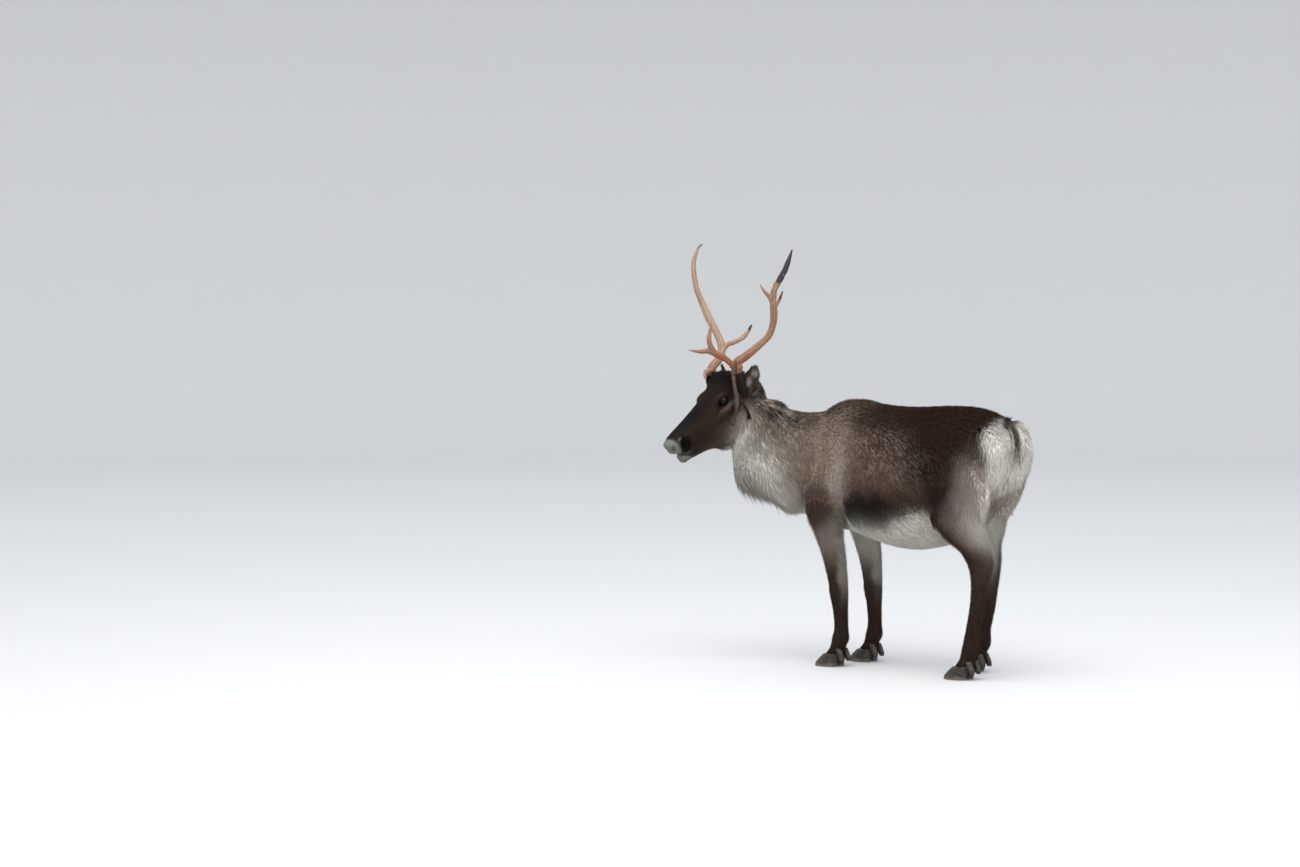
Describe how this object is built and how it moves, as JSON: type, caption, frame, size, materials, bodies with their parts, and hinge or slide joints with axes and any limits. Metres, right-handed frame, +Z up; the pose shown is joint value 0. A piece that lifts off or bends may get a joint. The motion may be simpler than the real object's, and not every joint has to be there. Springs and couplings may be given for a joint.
{
  "type": "life-size reindeer model",
  "caption": "Life-size reindeer in its winter coat, standing on four cloven hooves with its head turned to its left and its antlers in their last velvet.",
  "frame": {"origin": "on the floor, under the middle of the bounding box", "axes": "+X from the rump towards the chest, +Y to the animal's left, +Z up"},
  "size_m": [1.3868, 0.6644, 1.5015],
  "materials": {
    "trunk_coat": "thick winter fur, chocolate brown over a white belly",
    "neck_coat": "thick winter fur, grey to cream, with a pale mane",
    "head_coat": "short fur, dark greyish brown, with a pale muzzle",
    "ear_coat": "short fur outside, long pale hair inside",
    "leg_coat": "short dense fur, dark brown, paler behind the forelegs",
    "tail_coat": "long fur, white with a brown stripe",
    "antler": "rubbed bone, tan to orange",
    "velvet": "dry strips of skin",
    "horn": "dark horn, slightly worn",
    "eye": "wet and dark"
  },
  "bodies": {
    "root": {"antler_left_beam": "antler", "antler_left_brow": "antler", "antler_left_brow_upper": "antler", "antler_left_crown": "antler", "antler_left_crown_back": "antler", "antler_left_crown_front": "antler", "antler_left_velvet": "velvet", "antler_left_velvet_fork": "velvet", "antler_right_back": "antler", "antler_right_beam": "antler", "antler_right_brow": "antler", "antler_right_crown": "antler", "dewclaw_front_left_inner": "horn", "dewclaw_front_left_outer": "horn", "dewclaw_front_right_inner": "horn", "dewclaw_front_right_outer": "horn", "dewclaw_hind_left_inner": "horn", "dewclaw_hind_left_outer": "horn", "dewclaw_hind_right_inner": "horn", "dewclaw_hind_right_outer": "horn", "ear_left": "ear_coat", "ear_right": "ear_coat", "eye_left": "eye", "eye_right": "eye", "head": "head_coat", "hoof_front_left_inner": "horn", "hoof_front_left_outer": "horn", "hoof_front_right_inner": "horn", "hoof_front_right_outer": "horn", "hoof_hind_left_inner": "horn", "hoof_hind_left_outer": "horn", "hoof_hind_right_inner": "horn", "hoof_hind_right_outer": "horn", "leg_front_left": "leg_coat", "leg_front_right": "leg_coat", "leg_hind_left": "leg_coat", "leg_hind_right": "leg_coat", "neck": "neck_coat", "tail": "tail_coat", "trunk": "trunk_coat"}
  },
  "joints": []
}
